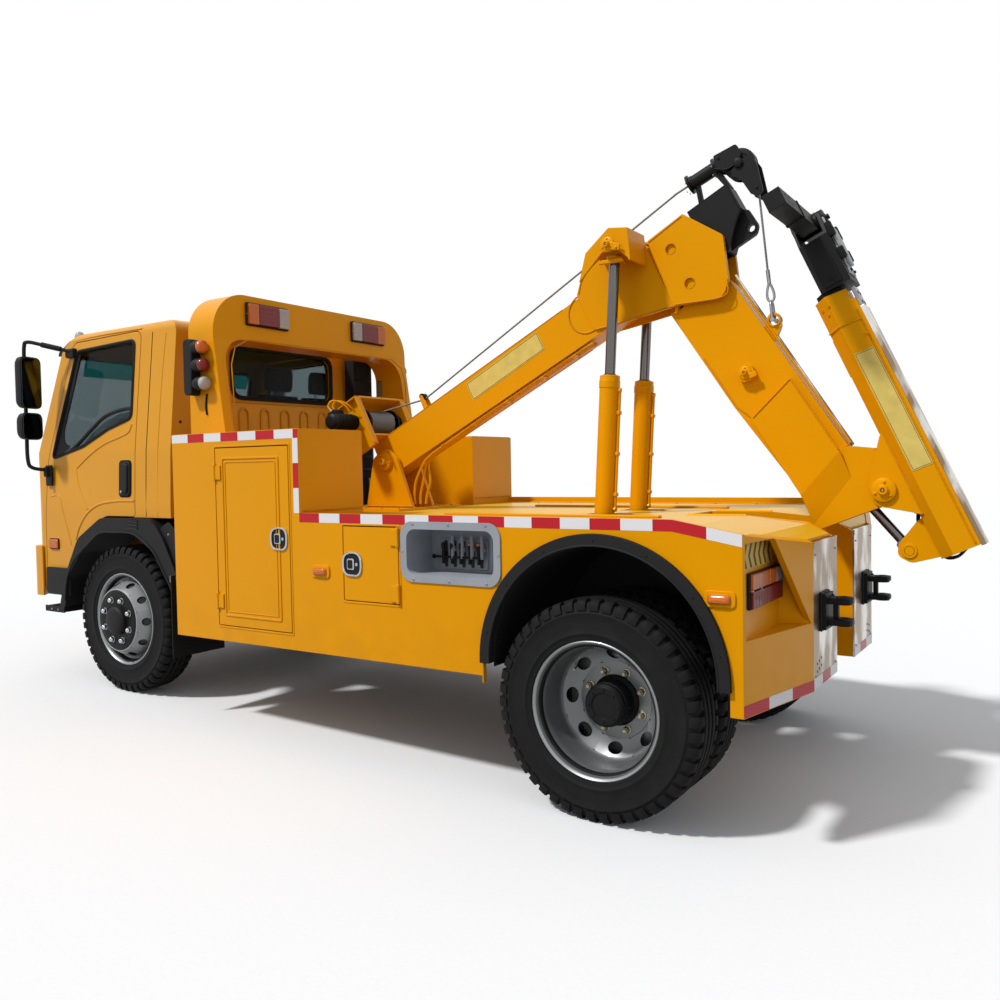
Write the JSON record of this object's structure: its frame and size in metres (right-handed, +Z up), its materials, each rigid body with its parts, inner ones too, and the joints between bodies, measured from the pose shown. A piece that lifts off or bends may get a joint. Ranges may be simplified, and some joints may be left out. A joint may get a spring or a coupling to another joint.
{
  "type": "tow truck",
  "caption": "Cab-over tow truck with an integrated lifting boom, telescoping inner boom, winch, and an underlift arm folded upright behind a boxy service body.",
  "frame": {"origin": "centre of the overall bounding box at ground level", "axes": "+X points to the rear of the truck, +Y to its right, +Z up"},
  "size_m": [6.1663, 2.4682, 3.208],
  "materials": {
    "chassis_steel": "satin black",
    "engine_iron": "bare casting",
    "tank_steel": "satin black",
    "cab_paint": "gloss",
    "glass": "tinted",
    "seat_fabric": "woven",
    "dash_plastic": "grained",
    "black_plastic": "grained",
    "rubber": "matte",
    "body_paint": "gloss",
    "grey_plastic": "satin",
    "stainless": "brushed",
    "black_steel": "satin black",
    "lamp_plastic": "clear coloured lenses",
    "chrome_rod": "polished",
    "tyre": "matte",
    "rim_steel": "silver"
  },
  "bodies": {
    "truck": {"frame_rails": "chassis_steel", "front_axle": "chassis_steel", "rear_axle": "chassis_steel", "engine_block": "engine_iron", "fuel_tank": "tank_steel", "air_tank": "tank_steel", "cab_shell": "cab_paint", "cab_glass": "glass", "cab_seats": "seat_fabric", "dashboard": "dash_plastic", "front_bumper": "cab_paint", "front_arches": "black_plastic", "cab_steps": "black_plastic", "mud_flaps": "rubber", "air_intake": "black_plastic", "deck": "body_paint", "control_panels": "grey_plastic", "rear_arch_flares": "black_plastic", "rear_plates": "stainless", "tow_brackets": "black_steel", "lamps": "lamp_plastic", "gantry": "body_paint", "boom_base": "body_paint", "body_side_left": "body_paint", "body_side_right": "body_paint"},
    "boom": {"boom_outer": "body_paint", "rear_arm": "body_paint", "winch_motor": "black_steel"},
    "winch_drum": {"winch_drum": "black_steel"},
    "inner_boom": {"boom_inner": "black_steel"},
    "rope_sheave": {"rope_sheave": "black_steel"},
    "lift_barrels": {"lift_barrels": "body_paint"},
    "lift_rods": {"lift_rods": "chrome_rod"},
    "underlift": {"underlift_arm": "body_paint"},
    "underlift_slide": {"underlift_slide": "black_steel"},
    "cross_bar": {"cross_bar": "black_steel"},
    "tilt_barrel": {"tilt_barrel": "black_steel"},
    "tilt_rod": {"tilt_rod": "chrome_rod"},
    "front_knuckle_left": {"knuckle_left": "chassis_steel"},
    "front_wheel_left": {"front_tyre_left": "tyre", "front_rim_left": "rim_steel"},
    "rear_wheels_left": {"rear_tyres_left": "tyre", "rear_rims_left": "rim_steel"},
    "cab_door_left": {"cab_door_left": "cab_paint", "door_glass_left": "glass", "mirror_left": "black_plastic"},
    "tall_door_left": {"tall_door_left": "body_paint"},
    "small_door_left": {"small_door_left": "body_paint"},
    "front_knuckle_right": {"knuckle_right": "chassis_steel"},
    "front_wheel_right": {"front_tyre_right": "tyre", "front_rim_right": "rim_steel"},
    "rear_wheels_right": {"rear_tyres_right": "tyre", "rear_rims_right": "rim_steel"},
    "cab_door_right": {"cab_door_right": "cab_paint", "door_glass_right": "glass", "mirror_right": "black_plastic"},
    "tall_door_right": {"tall_door_right": "body_paint"},
    "small_door_right": {"small_door_right": "body_paint"}
  },
  "joints": [
    {"name": "steer_left", "type": "hinge", "parent": "truck", "child": "front_knuckle_left", "pos_m": [-1.968, -0.7, 0.495], "axis": [-0.0262, 0, 0.9997], "range_deg": [-32, 32]},
    {"name": "front_wheel_spin_left", "type": "hinge", "parent": "front_knuckle_left", "child": "front_wheel_left", "pos_m": [-1.968, -0.868, 0.495], "axis": [0, 1, 0], "continuous": true},
    {"name": "rear_wheel_spin_left", "type": "hinge", "parent": "truck", "child": "rear_wheels_left", "pos_m": [1.682, -0.918, 0.495], "axis": [0, 1, 0], "continuous": true},
    {"name": "cab_door_left", "type": "hinge", "parent": "truck", "child": "cab_door_left", "pos_m": [-2.86752, -1.006, 1.18114], "axis": [0.0262, 0, -0.9997], "range_deg": [0, 65]},
    {"name": "tall_door_left", "type": "hinge", "parent": "truck", "child": "tall_door_left", "pos_m": [-0.74663, -1.199, 1.13665], "axis": [0.0262, 0, -0.9997], "range_deg": [0, 100]},
    {"name": "small_door_left", "type": "hinge", "parent": "truck", "child": "small_door_left", "pos_m": [0.60987, -1.199, 1.05913], "axis": [-0.0262, 0, 0.9997], "range_deg": [0, 100]},
    {"name": "steer_right", "type": "hinge", "parent": "truck", "child": "front_knuckle_right", "pos_m": [-1.968, 0.7, 0.495], "axis": [-0.0262, 0, 0.9997], "range_deg": [-32, 32]},
    {"name": "front_wheel_spin_right", "type": "hinge", "parent": "front_knuckle_right", "child": "front_wheel_right", "pos_m": [-1.968, 0.868, 0.495], "axis": [0, 1, 0], "continuous": true},
    {"name": "rear_wheel_spin_right", "type": "hinge", "parent": "truck", "child": "rear_wheels_right", "pos_m": [1.682, 0.918, 0.495], "axis": [0, 1, 0], "continuous": true},
    {"name": "cab_door_right", "type": "hinge", "parent": "truck", "child": "cab_door_right", "pos_m": [-2.86752, 1.006, 1.18114], "axis": [-0.0262, 0, 0.9997], "range_deg": [0, 65]},
    {"name": "tall_door_right", "type": "hinge", "parent": "truck", "child": "tall_door_right", "pos_m": [-0.74663, 1.199, 1.13665], "axis": [-0.0262, 0, 0.9997], "range_deg": [0, 100]},
    {"name": "small_door_right", "type": "hinge", "parent": "truck", "child": "small_door_right", "pos_m": [0.60987, 1.199, 1.05913], "axis": [0.0262, 0, -0.9997], "range_deg": [0, 100]},
    {"name": "boom_lift", "type": "hinge", "parent": "truck", "child": "boom", "pos_m": [-0.39675, 0, 1.56595], "axis": [0, 1, 0], "range_deg": [-2, 19.5]},
    {"name": "lift_barrel_swing", "type": "hinge", "parent": "truck", "child": "lift_barrels", "pos_m": [1.25329, 0, 1.20402], "axis": [0, 1, 0], "range_deg": [-1.89, 18.21]},
    {"name": "lift_rod_slide", "type": "slide", "parent": "lift_barrels", "child": "lift_rods", "axis": [0.0332, 0, 0.9995], "range_m": [-0.5714, 0.0591]},
    {"name": "boom_extend", "type": "slide", "parent": "boom", "child": "inner_boom", "axis": [0.8796, 0, 0.4756], "range_m": [0, 0.8]},
    {"name": "sheave_spin", "type": "hinge", "parent": "inner_boom", "child": "rope_sheave", "pos_m": [1.90958, 0, 3.11185], "axis": [0, 1, 0], "continuous": true},
    {"name": "drum_spin", "type": "hinge", "parent": "boom", "child": "winch_drum", "pos_m": [-0.58033, 0, 1.82138], "axis": [0, 1, 0], "continuous": true},
    {"name": "underlift_fold", "type": "hinge", "parent": "boom", "child": "underlift", "pos_m": [2.65224, 0, 1.45373], "axis": [0, 1, 0], "range_deg": [0, 95]},
    {"name": "tilt_barrel_swing", "type": "hinge", "parent": "boom", "child": "tilt_barrel", "pos_m": [1.97776, 0, 2.03627], "axis": [0, 1, 0], "range_deg": [-0.02, 16.61]},
    {"name": "tilt_rod_slide", "type": "slide", "parent": "tilt_barrel", "child": "tilt_rod", "axis": [0.6723, 0, -0.7403], "range_m": [-0.3963, 0.0005]},
    {"name": "underlift_extend", "type": "slide", "parent": "underlift", "child": "underlift_slide", "axis": [-0.4399, 0, 0.898], "range_m": [0, 0.6]},
    {"name": "cross_bar_swing", "type": "hinge", "parent": "underlift_slide", "child": "cross_bar", "pos_m": [2.25843, 0, 2.74628], "axis": [-0.898, 0, -0.4399], "range_deg": [-20, 20]}
  ],
  "couplings": [
    {"joint": "steer_right", "follows": "steer_left", "ratio": 1},
    {"joint": "lift_barrel_swing", "follows": "boom_lift", "ratio": 0.9327},
    {"joint": "lift_rod_slide", "follows": "boom_lift", "m_per_rad": -1.6775},
    {"joint": "tilt_barrel_swing", "follows": "underlift_fold", "ratio": 0.1746},
    {"joint": "tilt_rod_slide", "follows": "underlift_fold", "m_per_rad": -0.2387}
  ]
}
